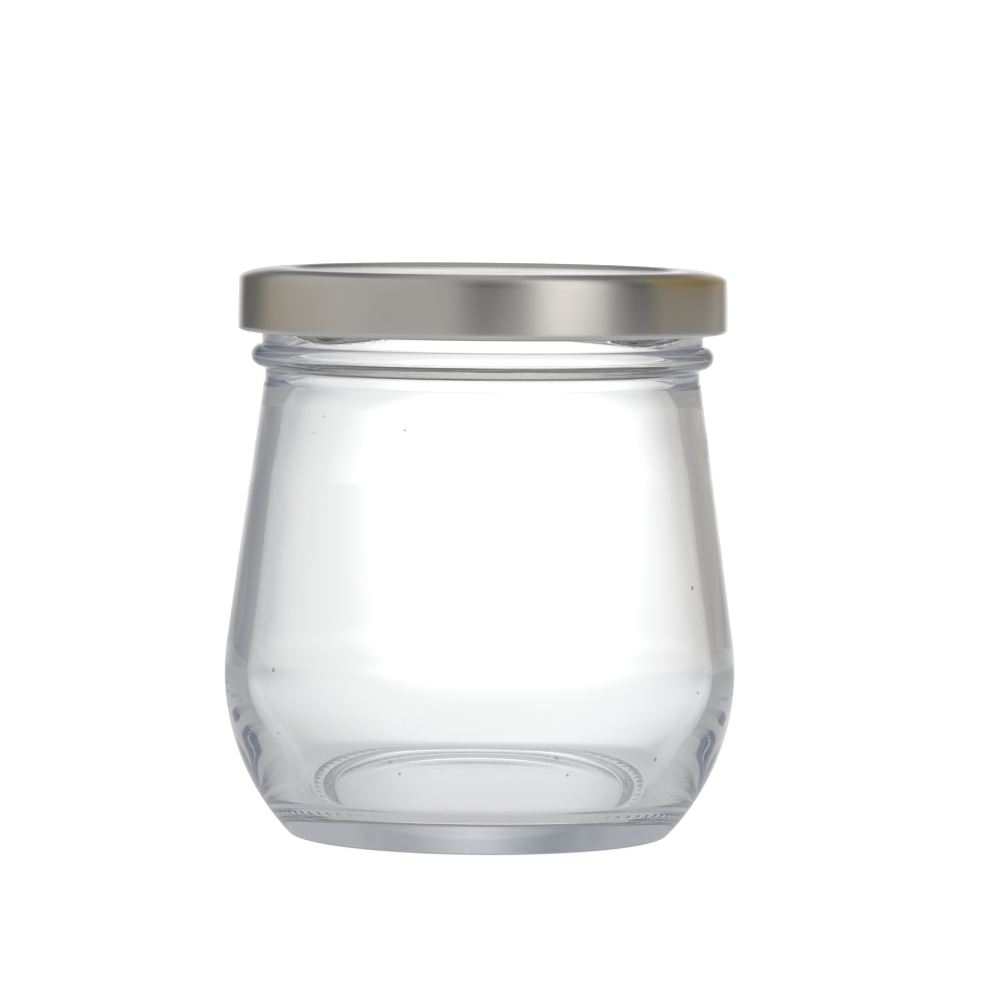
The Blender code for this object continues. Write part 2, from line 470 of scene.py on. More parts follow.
@dataclass(frozen=True)
class SealingCompound:
    """Cream plastisol, cast soft into the lid's channel."""

    colour: Colour = (0.78, 0.77, 0.73)
    grain_per_metre: float = 1400.0

    def make(self) -> bpy.types.Material:
        """Build the material.

        Returns:
            The compound.
        """
        material, tree, shader = new_material("sealing_compound_finish")
        shader.inputs["Base Color"].default_value = (*self.colour, 1.0)
        grain = noise(tree, (1.0, 1.0, 1.0), 3.0, self.grain_per_metre)
        tree.links.new(ranged(tree, grain, 0.42, 0.6), shader.inputs["Roughness"])
        relief(tree, shader, grain, 0.3, 0.02 * MM)
        return material


FINISHES = {Look.GLASS: ClearGlass(), Look.TINPLATE: RolledTinplate(), Look.COMPOUND: SealingCompound()}


def dress(piece: bpy.types.Object, look: Look, nodes: tuple[str, ...]) -> None:
    """Give a piece its finish, its body and the nodes that it stands for.

    Args:
        piece: the finished object.
        look: its finish.
        nodes: the frame's nodes that it replaces.
    """
    piece.data.materials.append(FINISHES[look].make())
    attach(piece, BODY)
    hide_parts(*nodes)
    log.info("%s: %d faces, finish %s", piece.name, len(piece.data.polygons), look.value)


# Sub-assemblies


@dataclass(frozen=True)
class Seed:
    """One tiny bubble in the glass wall: its bearing from the viewer's side, height and half width."""

    bearing_deg: float
    height: float
    radius: float


@dataclass
class GlassJar:
    """The glass body, from the push-up under its base to the rounded rim."""

    segments: int = 360
    belly_radius: float = 35.65 * MM
    belly_height: float = 22.8 * MM
    belly_curve: float = 32.5 * MM
    taper_deg: float = 7.63
    heel_fillet: float = 1.0 * MM
    ring_height: float = 63.1 * MM
    ring_step: float = 0.2 * MM
    ring_chamfer: float = 0.25 * MM
    bead_bottom: float = 65.3 * MM
    bead_curve: float = 1.65 * MM
    bead_radius: float = 32.3 * MM
    neck_radius: float = 30.8 * MM
    rim_top: float = 77.4 * MM
    rim_fillet: float = 1.3 * MM
    bore_radius: float = 27.4 * MM
    bore_bottom: float = 62.0 * MM
    throat_radius: float = 29.3 * MM
    throat_height: float = 50.0 * MM
    wall: float = 3.05 * MM
    inner_curve: float = 19.5 * MM
    inner_belly_height: float = 22.8 * MM
    inner_belly_end_deg: float = -23.5
    lower_curve: float = 38.0 * MM
    floor_height: float = 5.4 * MM
    floor_rise: float = 0.5 * MM
    floor_fillet: float = 5.0 * MM
    bearing_inner: float = 22.9 * MM
    bearing_width: float = 2.9 * MM
    push_up_radius: float = 20.2 * MM
    push_up_edge: float = 1.3 * MM
    push_up_centre: float = 1.9 * MM
    rib_count: int = 4
    first_rib_deg: float = -146.5
    rib_span_deg: float = 62.0
    rib_low: float = 70.3 * MM
    rib_climb: float = 5.2 * MM
    rib_reach: float = 1.2 * MM
    rib_height: float = 1.9 * MM
    knurl_count: int = 72
    knurl_depth: float = 0.28 * MM
    knurl_inset: float = 1.25 * MM
    knurl_reach: float = 1.0 * MM
    unevenness: float = 0.05 * MM
    uneven_from: Pair = (18.0 * MM, 34.0 * MM)
    uneven_to: Pair = (68.0 * MM, 74.0 * MM)
    inner_rim_rows: int = 8
    rim_rows: int = 20
    seed_depth: float = 1.2 * MM
    seed_stretch: float = 1.4
    seed_sides: int = 10
    seed_rows: int = 5
    seeds: tuple[Seed, ...] = (
        Seed(-45.0, 59.3 * MM, 0.11 * MM),
        Seed(-48.2, 57.0 * MM, 0.10 * MM),
        Seed(-20.0, 57.9 * MM, 0.12 * MM),
        Seed(-60.3, 25.8 * MM, 0.11 * MM),
        Seed(-53.5, 24.5 * MM, 0.22 * MM),
        Seed(59.6, 35.9 * MM, 0.22 * MM),
        Seed(58.5, 21.7 * MM, 0.15 * MM),
        Seed(-53.1, 16.0 * MM, 0.12 * MM),
        Seed(-21.0, 13.3 * MM, 0.15 * MM),
        Seed(-18.9, 11.7 * MM, 0.15 * MM),
        Seed(18.1, 14.1 * MM, 0.17 * MM),
        Seed(21.4, 11.7 * MM, 0.15 * MM),
        Seed(45.8, 13.2 * MM, 0.20 * MM),
        Seed(35.1, 13.1 * MM, 0.15 * MM),
    )

    def wall_radius(self, height: float) -> float:
        """Radius of the tapered outer wall: the belly arc's tangent line at the taper angle.

        Args:
            height: height on the wall.

        Returns:
            The radius there.
        """
        taper = math.radians(self.taper_deg)
        tangent_height = self.belly_height + self.belly_curve * math.sin(taper)
        tangent_radius = self.belly_radius - self.belly_curve * (1.0 - math.cos(taper))
        return tangent_radius - (height - tangent_height) * math.tan(taper)

    def inside(self) -> np.ndarray:
        """The inner surface: a shallow dome, a fillet, two arcs, the taper and the bore.

        Returns:
            Points from the floor's middle up to the bore's top.
        """
        centre = (self.belly_radius - self.wall - self.inner_curve, self.inner_belly_height)
        end = math.radians(self.inner_belly_end_deg)
        offset = self.inner_curve - self.lower_curve
        lower = (centre[0] + offset * math.cos(end), centre[1] + offset * math.sin(end))
        corner, leave = fillet_onto_level(lower, self.lower_curve, self.floor_height, self.floor_fillet)
        reach = np.linspace(0.0, corner[0], 12)
        rise = self.floor_height + self.floor_rise * (1.0 - (reach / corner[0]) ** 2)
        belly = joined(
            arc(lower, self.lower_curve, leave, self.inner_belly_end_deg, 16),
            arc(centre, self.inner_curve, self.inner_belly_end_deg, self.taper_deg, 22),
        )
        bore_top = self.rim_top - self.rim_fillet
        return joined(
            np.column_stack((reach, rise)),
            arc(corner, self.floor_fillet, -90.0, leave, 18),
            belly,
            straight(tuple(belly[-1]), (self.throat_radius, self.throat_height), 12),
            self.throat(),
            straight((self.bore_radius, self.bore_bottom), (self.bore_radius, bore_top), 6),
        )

    def throat(self) -> np.ndarray:
        """The turn from the tapered wall into the bore: a cubic, along the wall first and upright last.

        With t the share of the way up, the radius is bore + width * (2t^3 - 3t^2 + 1), plus the wall's
        slope times the height times (t^3 - 2t^2 + t).

        Returns:
            Points from the throat up to the bore.
        """
        t = np.linspace(0.0, 1.0, 16)
        climb = self.bore_bottom - self.throat_height
        width = self.throat_radius - self.bore_radius
        slope = -math.tan(math.radians(self.taper_deg)) * climb
        radius = self.bore_radius + width * (2.0 * t**3 - 3.0 * t**2 + 1.0)
        return np.column_stack((radius + slope * (t**3 - 2.0 * t**2 + t), self.throat_height + climb * t))

    def rim(self) -> np.ndarray:
        """The rim: a quarter turn from the bore to the top, and one down to the neck.

        Returns:
            Points over the rim.
        """
        level = self.rim_top - self.rim_fillet
        return joined(
            arc((self.bore_radius + self.rim_fillet, level), self.rim_fillet, 180.0, 90.0, 10),
            arc((self.neck_radius - self.rim_fillet, level), self.rim_fillet, 90.0, 0.0, 10),
        )

    def neck_and_bead(self) -> np.ndarray:
        """The neck's straight side and the round bead below it.

        Returns:
            Points from the rim's outer edge down to under the bead.
        """
        centre = (self.bead_radius - self.bead_curve, self.bead_bottom + self.bead_curve)
        top_deg = math.degrees(math.acos((self.neck_radius - centre[0]) / self.bead_curve))
        bead = arc(centre, self.bead_curve, top_deg, -90.0, 22)
        neck_top = (self.neck_radius, self.rim_top - self.rim_fillet)
        return joined(straight(neck_top, tuple(bead[0]), 34), bead)

    def outside(self) -> np.ndarray:
        """The collar, the mould's step, the taper, the belly arc and the heel.

        Returns:
            Points from under the bead down to the edge that the jar rests on.
        """
        ring = self.wall_radius(self.ring_height)
        collar = ring - self.ring_step
        chamfer_top = (collar, self.ring_height + self.ring_chamfer)
        centre = (self.belly_radius - self.belly_curve, self.belly_height)
        heel, leave = fillet_onto_level(centre, self.belly_curve, 0.0, self.heel_fillet)
        belly = arc(centre, self.belly_curve, self.taper_deg, leave, 36)
        return joined(
            straight((collar, self.bead_bottom - self.ring_chamfer), chamfer_top, 4),
            straight(chamfer_top, (ring, self.ring_height), 3),
            straight((ring, self.ring_height), tuple(belly[0]), 12),
            belly,
            arc(heel, self.heel_fillet, leave, -90.0, 6),
        )

    def underside(self) -> np.ndarray:
        """The bearing ring, the slope into the push-up as half a cosine, and its shallow dome.

        Returns:
            Points from the edge that the jar rests on in to the axis.
        """
        share = np.linspace(0.0, 1.0, 9)
        slope = np.column_stack(
            (
                self.bearing_inner + (self.push_up_radius - self.bearing_inner) * share,
                0.5 * self.push_up_edge * (1.0 - np.cos(math.pi * share)),
            )
        )
        reach = np.linspace(self.push_up_radius, 0.0, 10)
        sag = self.push_up_edge - self.push_up_centre
        rise = self.push_up_centre + sag * (reach / self.push_up_radius) ** 2
        ring = straight((self.bearing_inner + self.bearing_width, 0.0), (self.bearing_inner, 0.0), 11)
        return joined(ring, slope, np.column_stack((reach, rise)))

    def add_thread(self, shape: TurnedShape, outer: np.ndarray) -> None:
        """Raise the thread ribs: a hill across each rib times a smooth fade at both its ends.

        Args:
            shape: the jar's grid, changed in place.
            outer: 1 on the neck's outer rows, else 0.
        """
        for index in range(self.rib_count):
            start = math.radians(self.first_rib_deg) + index * math.tau / self.rib_count
            along = np.mod(shape.angle - start, math.tau) / math.radians(self.rib_span_deg)
            swell = np.sin(0.5 * math.pi * np.clip(np.minimum(along, 1.0 - along) / 0.25, 0.0, 1.0))
            middle = self.rib_low + self.rib_climb * along**2
            across = shape.height - middle
            half = 0.5 * self.rib_height * np.maximum(swell, 0.05)
            hill = bump(across, 1.25 * half) ** 0.7
            shape.radius += outer * self.rib_reach * swell * hill

    def add_knurls(self, shape: TurnedShape, under: np.ndarray) -> None:
        """Cut short grooves up into the bearing ring, as a cosine of the angle across its width.

        Args:
            shape: the jar's grid, changed in place.
            under: 1 on the underside's rows, else 0.
        """
        middle = self.bearing_inner + self.knurl_inset
        across = bump(shape.radius - middle, self.knurl_reach)
        wave = 0.5 - 0.5 * np.cos(self.knurl_count * shape.angle)
        shape.height += under * across * wave * self.knurl_depth

    def add_unevenness(self, shape: TurnedShape, inner: np.ndarray) -> None:
        """Let the pressed wall vary: a few slow waves round the axis whose phase drifts with height.

        Args:
            shape: the jar's grid, changed in place.
            inner: 1 on the inner wall's rows, else 0.
        """
        up = shape.height / (70.0 * MM)
        waves = (
            1.0 * np.cos(shape.angle - 0.3)
            + 0.8 * np.cos(3.0 * shape.angle + 2.1 * up + 0.8)
            + 0.5 * np.cos(5.0 * shape.angle - 3.7 * up)
            + 0.25 * np.cos(9.0 * shape.angle + 6.0 * up + 1.9)
        )
        on_wall = ramp(shape.height, *self.uneven_from) * (1.0 - ramp(shape.height, *self.uneven_to))
        shape.radius += inner * on_wall * waves * self.unevenness

    def wall_middle(self, heights: np.ndarray) -> np.ndarray:
        """Radius of the seeds' layer: the belly arc and the taper above it, less seed_depth.

        Args:
            heights: heights on the wall.

        Returns:
            The radii, of heights' shape.
        """
        taper = math.radians(self.taper_deg)
        tangent = self.belly_height + self.belly_curve * math.sin(taper)
        on_arc = np.minimum(heights, tangent) - self.belly_height
        arc_radius = self.belly_radius - self.belly_curve + np.sqrt(self.belly_curve**2 - on_arc**2)
        over = heights - self.belly_height - on_arc
        return arc_radius - over * math.tan(taper) - self.seed_depth

    def bubbles(self) -> tuple[np.ndarray, np.ndarray]:
        """The seeds: balls of a few rows and sides, stretched along Z and set in the wall.

        Returns:
            The points, shape (n, 3), and the triangles, which face into each bubble.
        """
        ring, rows = self.seed_sides, self.seed_rows
        turns = np.linspace(0.0, math.tau, ring, endpoint=False)
        levels = np.linspace(-0.5 * math.pi, 0.5 * math.pi, rows + 2)[1:-1]
        side = np.stack(
            (
                np.cos(levels)[:, None] * np.cos(turns),
                np.cos(levels)[:, None] * np.sin(turns),
                np.sin(levels)[:, None] * np.ones(ring),
            ),
            axis=-1,
        ).reshape(-1, 3)
        ball = np.vstack(([[0.0, 0.0, -1.0]], side, [[0.0, 0.0, 1.0]]))
        grid = 1 + np.arange(rows * ring).reshape(rows, ring)
        turned = np.roll(grid, -1, axis=1)
        pole = np.zeros(ring, int)
        faces = np.vstack(
            (
                np.stack((pole, grid[0], turned[0]), axis=-1),
                np.stack((grid[:-1], grid[1:], turned[1:]), axis=-1).reshape(-1, 3),
                np.stack((grid[:-1], turned[1:], turned[:-1]), axis=-1).reshape(-1, 3),
                np.stack((pole + len(ball) - 1, turned[-1], grid[-1]), axis=-1),
            )
        )
        bearing = np.radians([seed.bearing_deg for seed in self.seeds])
        height = np.array([seed.height for seed in self.seeds])
        radius = np.array([seed.radius for seed in self.seeds])
        out = self.wall_middle(height)
        middle = np.column_stack((out * np.sin(bearing), -out * np.cos(bearing), height))
        size = np.column_stack((radius, radius, radius * self.seed_stretch))
        points = (middle[:, None, :] + ball[None, :, :] * size[:, None, :]).reshape(-1, 3)
        shift = np.arange(len(self.seeds))[:, None, None] * len(ball)
        return points, (faces[None, :, :] + shift).reshape(-1, 3)

    def build(self) -> bpy.types.Object:
        """Build the jar.

        Returns:
            The jar's piece.
        """
        inside, rim, neck = self.inside(), self.rim(), self.neck_and_bead()
        outside, underside = self.outside(), self.underside()
        shape = TurnedShape(joined(inside, rim, neck, outside, underside), self.segments)
        row = np.arange(len(shape.profile))[:, None]
        is_inner = (row < len(inside)).astype(float)
        above_bead = shape.height > self.bead_bottom + 2.0 * self.bead_curve - 0.4 * MM
        is_neck = ((row >= len(inside) + self.inner_rim_rows) & above_bead).astype(float)
        is_under = ((row > len(inside) + self.rim_rows) & (shape.height < 1e-6)).astype(float)
        self.add_thread(shape, is_neck)
        self.add_knurls(shape, is_under)
        self.add_unevenness(shape, is_inner)
        piece = shape.build("glass_jar", self.bubbles())
        dress(piece, Look.GLASS, ("jar",))
        return piece


@dataclass
class TwistLid:
    """The pressed lid: sunk panel, low crest, wide round shoulder, skirt, curled hem and lugs."""

    segments: int = 360
    sheet: float = 0.5 * MM
    radius: float = 34.15 * MM
    bottom: float = 70.3 * MM
    top: float = 79.1 * MM
    shoulder_width: float = 6.15 * MM
    shoulder_drop: float = 1.5 * MM
    panel_radius: float = 24.5 * MM
    panel_sink: float = 0.5 * MM
    skirt_draft: float = 0.12 * MM
    hem_curve: float = 0.7 * MM
    hem_turn_deg: float = -205.0
    lug_count: int = 4
    first_lug_deg: float = -93.2
    lug_span_deg: float = 12.0
    lug_reach: float = 1.2 * MM
    lug_inset: float = 1.8
    lug_fade: Pair = (1.6, 2.4)

    def crest(self) -> float:
        """Radius of the low crest between panel and shoulder."""
        return self.radius - self.skirt_draft - self.shoulder_width

    def panel(self, level: float) -> np.ndarray:
        """The sunk panel, and its rise to the crest as half a cosine.

        Args:
            level: height of the crest's surface.

        Returns:
            Points from the axis out to the crest.
        """
        share = np.linspace(0.0, 1.0, 16)
        rise = level - self.panel_sink * (0.5 + 0.5 * np.cos(math.pi * share))
        slope = np.column_stack((self.panel_radius + (self.crest() - self.panel_radius) * share, rise))
        return joined(straight((0.0, level - self.panel_sink), tuple(slope[0]), 10), slope)

    def shoulder(self, inset: float, count: int) -> np.ndarray:
        """A quarter of an ellipse from the crest down to the skirt.

        Args:
            inset: how far it lies inside the sheet's outer side.
            count: number of points.

        Returns:
            Points of radius and height.
        """
        reach = (self.shoulder_width - inset, self.shoulder_drop - inset)
        return ellipse_arc((self.crest(), self.top - self.shoulder_drop), reach, 90.0, 0.0, count)

    def outer_side(self) -> np.ndarray:
        """The sheet's outer side: panel, shoulder, a skirt that leans in as the square of height, hem.

        Returns:
            Points of radius and height.
        """
        shoulder = self.shoulder(0.0, 34)
        centre = (self.radius - self.hem_curve, self.bottom + self.hem_curve)
        hem = arc(centre, self.hem_curve, 0.0, self.hem_turn_deg, 26)
        height = np.linspace(shoulder[-1, 1], hem[0, 1], 18)
        share = (height - hem[0, 1]) / (shoulder[-1, 1] - hem[0, 1])
        skirt = np.column_stack((self.radius - self.skirt_draft * share**2, height))
        return joined(self.panel(self.top), shoulder, skirt, hem)

    def inner_side(self) -> np.ndarray:
        """The sheet's inner side, from the hem's end back to the panel's middle.

        Returns:
            Points of radius and height.
        """
        shoulder = self.shoulder(self.sheet, 16)[::-1]
        centre = (self.radius - self.hem_curve, self.bottom + self.hem_curve)
        hem = arc(centre, self.hem_curve - self.sheet, self.hem_turn_deg, 0.0, 16)
        inner_top = self.panel(self.top - self.sheet)[::-1]
        return joined(hem, straight(tuple(hem[-1]), tuple(shoulder[0]), 6), shoulder, inner_top)

    def add_lugs(self, shape: TurnedShape) -> None:
        """Press the hem's inner side inward at each lug: a hill round the axis times one across the curl.

        Args:
            shape: the lid's grid, changed in place.
        """
        half = math.radians(0.5 * self.lug_span_deg)
        edge, deep = self.radius - self.hem_curve, self.radius - self.lug_inset * self.hem_curve
        inward = ramp(-shape.radius, -edge, -deep)
        fade = (self.bottom + share * self.hem_curve for share in self.lug_fade)
        low = 1.0 - ramp(shape.height, *fade)
        for index in range(self.lug_count):
            middle = math.radians(self.first_lug_deg) + index * math.tau / self.lug_count
            off = np.mod(shape.angle - middle + math.pi, math.tau) - math.pi
            window = 1.0 - ramp(np.abs(off), 0.7 * half, 1.3 * half)
            shape.radius -= self.lug_reach * window * inward * low

    def build(self) -> bpy.types.Object:
        """Build the lid.

        Returns:
            The lid's piece.
        """
        shape = TurnedShape(joined(self.outer_side(), self.inner_side()), self.segments)
        self.add_lugs(shape)
        piece = shape.build("twist_lid")
        dress(piece, Look.TINPLATE, ("lid",))
        return piece


@dataclass
class SealRing:
    """The ring of sealing compound between the rim and the lid."""

    segments: int = 180
    inner_radius: float = 28.6 * MM
    outer_radius: float = 31.0 * MM
    bottom: float = 77.7 * MM
    top: float = 78.29 * MM
    outer_top: float = 78.147 * MM
    edge: float = 0.15 * MM

    def build(self) -> bpy.types.Object:
        """Build the ring, a rounded box section carried round the axis.

        Returns:
            The ring's piece.
        """
        right, left = self.outer_radius - self.edge, self.inner_radius + self.edge
        high, low = self.top - self.edge, self.bottom + self.edge
        section = joined(
            arc((right, self.outer_top - self.edge), self.edge, 90.0, 0.0, 5),
            arc((right, low), self.edge, 0.0, -90.0, 5),
            arc((left, low), self.edge, -90.0, -180.0, 5),
            arc((left, high), self.edge, 180.0, 90.0, 5),
        )
        piece = TurnedShape(section, self.segments, closed=True).build("seal_ring")
        dress(piece, Look.COMPOUND, ("lid_seal",))
        return piece


# Studio


@dataclass(frozen=True)
class Stop:
    """One tone of the room at a bearing, in degrees from the backdrop's middle towards +X."""

    bearing_deg: float
    tone: Colour


def grey(bearing_deg: float, level: float, warmth: float = 0.0) -> Stop:
    """A stop of one level, tinted towards brown by a positive warmth and towards blue by a negative one.

    Args:
        bearing_deg: the bearing.
        level: its radiance.
        warmth: share by which red gains and blue loses.

    Returns:
        The stop.
    """
    return Stop(bearing_deg, (level * (1.0 + 0.5 * warmth), level, level * (1.0 - warmth)))


def greys(*tones: tuple[float, ...]) -> tuple[Stop, ...]:
    """Several grey stops.

    Args:
        tones: bearing, level and, where it isn't neutral, warmth of each.

    Returns:
        The stops, in the same order.
    """
    return tuple(grey(*tone) for tone in tones)


@dataclass
class Studio:
    """A white backdrop and grey sides round the jar, with painted reflections for the lid's tin and painted
    shade for light through the glass and on the floor.

    This is not plain soft light. The tones by bearing are fitted to the photograph's brightness, traced
    back through the glass or off the tin and rounded, and they answer to the kind of light that asks:
    seen directly, through the jar, through the wall alone, off the tin, or trapped in the glass.

    Attributes:
        behind_glass: the room for light through the jar.
        painted_skirt_reflection: painted reflection on the lid's skirt, by the bearing that an upright
            surface would mirror.
        painted_shoulder_reflection: the same painted reflection for the lid's shoulder.
        painted_crest_reflection: the same painted reflection for the crest and panel.
        painted_shade_round_jar: painted shade on the floor round the jar, by bearing.
        painted_wall_shade_room: painted shade of the room and far floor for light through the wall alone.
        painted_wall_shade_near: painted shade of the floor close to the jar for light through the wall
            alone.
        painted_wall_shade_far: painted shade of the floor further off for light through the wall alone.
        lost_after: number of surfaces after which light counts as trapped.
        painted_trapped_shade: the one painted shade that light trapped in the glass gets.
        skirt_to_shoulder_deg: slopes of facing between which the skirt's tones give way to the shoulder's.
        shoulder_to_crest_deg: the same from shoulder to crest.
        ahead_deg: angles from the upright plane through X at which the tin mirrors the backdrop.
        below_deg: elevations below which the tin mirrors the plain room.
        sight_drop: rise of the photograph's line of sight per unit of its length, below zero as it falls.
    """

    behind_glass: tuple[Stop, ...] = greys(
        (-180.0, 0.62), (-120.0, 0.56), (-75.0, 0.42, -0.03), (-38.0, 0.34, -0.06),
        (-27.0, 0.33, -0.08), (-20.0, 0.50, -0.04), (-12.0, 0.80), (-7.0, 0.92), (-4.0, 1.18),
        (6.0, 1.22), (10.0, 1.04), (13.0, 0.92), (21.0, 0.66), (27.0, 0.47), (34.0, 0.38),
        (38.0, 0.35), (75.0, 0.42), (120.0, 0.56), (180.0, 0.62),
    )
    # Painted reflections on the lid: tones that only glossy rays see, by the bearing of the facing that
    # mirrors them to one fixed viewer, warm patches included.
    painted_skirt_reflection: tuple[Stop, ...] = greys(
        (-180.0, 0.23), (-173.0, 0.33), (-166.0, 0.47), (-160.0, 0.50, 0.03), (-135.0, 0.48, 0.04),
        (-110.0, 0.55, 0.05), (-98.0, 0.50, 0.10), (-85.0, 0.45, 0.18), (-62.0, 0.38, 0.24),
        (-54.0, 0.26, 0.18), (-47.0, 0.18, 0.06), (-28.0, 0.14, 0.02), (-12.0, 1.10), (12.0, 1.10),
        (26.0, 0.28), (37.0, 0.44), (54.0, 0.33, 0.04), (86.0, 0.32, 0.05), (93.0, 0.22, 0.02),
        (103.0, 0.22), (116.0, 0.40), (122.0, 0.70, 0.02), (131.0, 0.92, 0.03), (143.0, 1.10, 0.04),
        (151.0, 0.94, 0.03), (158.0, 0.62, 0.02), (164.0, 0.42), (172.0, 0.33), (180.0, 0.23),
    )
    painted_shoulder_reflection: tuple[Stop, ...] = greys(
        (-180.0, 0.15), (-174.0, 0.22), (-168.0, 0.45), (-160.0, 0.52, 0.03), (-110.0, 0.56, 0.04),
        (-86.0, 0.56, 0.05), (-62.0, 0.44, 0.10), (-54.0, 0.28, 0.10), (-47.0, 0.18, 0.04),
        (-28.0, 0.14, 0.02), (-12.0, 1.10), (12.0, 1.10), (24.0, 0.34, 0.30),
    ) + (
        Stop(37.0, (0.40, 0.33, 0.19)),
        Stop(48.0, (0.27, 0.19, 0.09)),
        Stop(62.0, (0.31, 0.23, 0.10)),
        Stop(76.0, (0.33, 0.26, 0.12)),
        Stop(90.0, (0.33, 0.28, 0.18)),
    ) + greys(
        (97.0, 0.15, 0.02), (106.0, 0.16), (116.0, 0.36), (124.0, 0.86, 0.03), (134.0, 1.12, 0.03),
        (146.0, 1.16, 0.03), (153.0, 0.90, 0.02), (159.0, 0.50, 0.02), (166.0, 0.30), (173.0, 0.20),
        (180.0, 0.15),
    )
    # Painted shade on the floor round the jar, darker to the sides, seen only through the glass.
    painted_shade_round_jar: tuple[Stop, ...] = greys(
        (-180.0, 0.55), (-120.0, 0.52), (-95.0, 0.53), (-70.0, 0.52, -0.02), (-60.0, 0.54, -0.02),
        (-50.0, 0.60), (-40.0, 0.68), (-33.0, 0.74), (-25.0, 0.79), (-12.0, 0.93), (12.0, 0.98),
        (22.0, 0.95), (30.0, 0.90), (38.0, 0.83), (45.0, 0.77), (52.0, 0.64), (60.0, 0.56),
        (90.0, 0.57), (120.0, 0.52), (180.0, 0.55),
    )
    # Painted shade for light through the glass wall alone: darker tones than the room, which make the
    # wall's dark edge bands.
    painted_wall_shade_room: tuple[Stop, ...] = greys(
        (-180.0, 0.50), (-75.0, 0.42), (-45.0, 0.42, -0.04), (-38.0, 0.37, -0.06),
        (-30.0, 0.32, -0.08), (-24.0, 0.31, -0.08), (-18.0, 0.37, -0.06), (-10.0, 0.50, -0.03),
        (-4.0, 0.62), (4.0, 0.64), (12.0, 0.55), (20.0, 0.45), (26.0, 0.41), (34.0, 0.41),
        (40.0, 0.46), (75.0, 0.45), (180.0, 0.50),
    )
    # Painted shade on the floor close to the jar for light through the wall alone.
    painted_wall_shade_near: tuple[Stop, ...] = greys(
        (-180.0, 0.55), (-150.0, 0.53), (-125.0, 0.46), (-105.0, 0.52), (-98.0, 0.56), (-90.0, 0.52),
        (-80.0, 0.46), (-70.0, 0.39), (-60.0, 0.34), (60.0, 0.34), (70.0, 0.39), (80.0, 0.46),
        (90.0, 0.52), (98.0, 0.56), (105.0, 0.52), (125.0, 0.46), (150.0, 0.53), (180.0, 0.55),
    )
    painted_wall_shade_near_reach: Pair = (48.0 * MM, 56.0 * MM)
    # Painted shade on the floor further off for light through the wall alone.
    painted_wall_shade_far: Colour = (0.335, 0.34, 0.35)
    painted_wall_shade_far_reach: Pair = (0.35, 0.85)
    wall_crossings: Pair = (0.5, 2.5)
    lost_after: float = 9.5
    # Painted shade: light that has crossed many surfaces in the glass gets one flat grey.
    painted_trapped_shade: Colour = (0.43, 0.405, 0.39)
    # Painted reflection on the lid's crest and panel.
    painted_crest_reflection: tuple[Stop, ...] = greys(
        (-180.0, 0.42), (-140.0, 0.42), (-115.0, 0.24), (-90.0, 0.17), (90.0, 0.16), (115.0, 0.20),
        (140.0, 0.40), (180.0, 0.42),
    )
    skirt_to_shoulder_deg: Pair = (0.9, 2.4)
    shoulder_to_crest_deg: Pair = (66.0, 78.0)
    ahead_deg: Pair = (81.5, 85.0)
    below_deg: Pair = (-9.0, -14.0)
    sight_drop: float = -0.035
    floor_reach: float = 0.9
    floor_sides: int = 96
    floor_colour: Colour = (0.12, 0.12, 0.12)
    floor_roughness: float = 0.9
    floor_glow: float = 0.97
    seen_floor: Colour = (1.0, 1.0, 1.0)
    floor_level: float = -0.15 * MM
    backdrop: Colour = (1.2, 1.2, 1.2)
    # Painted shadow under the jar: a darker floor tone close in, seen only through the glass.
    painted_shadow_under_jar: Colour = (0.47, 0.472, 0.475)
    painted_shadow_reach: float = 24.0 * MM
    near_reach: float = 40.0 * MM
    clear_reach: float = 70.0 * MM
    far_reach: float = 300.0 * MM
    camera_distance: float = 0.91
    camera_height: float = 0.1065
    camera_pitch_deg: float = 3.76
    camera_yaw_deg: float = 0.165
    camera_roll_deg: float = 0.55
    focal_mm: float = 234.8
    sensor_mm: float = 36.0
    clip: Pair = (0.05, 50.0)
    bounces: int = 80
    diffuse_bounces: int = 4

    @staticmethod
    def bearing(tree: Tree, place: Socket) -> Socket:
        """The bearing of a place about Z, as 0 to 1 for -180 to 180 degrees from +Y towards +X.

        Args:
            tree: the nodes to add to.
            place: a position or direction.

        Returns:
            The bearing.
        """
        parts = parts_of(tree, place)
        turn = calculate(tree, "ARCTAN2", parts["X"], parts["Y"])
        return calculate(tree, "MULTIPLY_ADD", turn, 1.0 / math.tau, 0.5)

    @staticmethod
    def tone(tree: Tree, bearing: Socket, stops: tuple[Stop, ...]) -> Socket:
        """A colour ramp of the stops over a bearing.

        Args:
            tree: the nodes to add to.
            bearing: the bearing, 0 to 1.
            stops: the tones, in order.

        Returns:
            The tone's colour.
        """
        node = tree.nodes.new("ShaderNodeValToRGB")
        node.color_ramp.interpolation = "LINEAR"
        elements = node.color_ramp.elements
        while len(elements) < len(stops):
            elements.new(0.5)
        for element, stop in zip(elements, stops):
            element.position = stop.bearing_deg / 360.0 + 0.5
            element.color = (*stop.tone, 1.0)
        tree.links.new(bearing, node.inputs["Fac"])
        return node.outputs["Color"]

    @staticmethod
    def smooth(tree: Tree, value: Socket, start: float, end: float) -> Socket:
        """A smooth rise from 0 at start to 1 at end.

        Args:
            tree: the nodes to add to.
            value: where to read it.
            start: where it is 0.
            end: where it is 1.

        Returns:
            The share.
        """
        node = tree.nodes.new("ShaderNodeMapRange")
        node.interpolation_type = "SMOOTHSTEP"
        node.inputs["From Min"].default_value = start
        node.inputs["From Max"].default_value = end
        tree.links.new(value, node.inputs["Value"])
        return node.outputs["Result"]

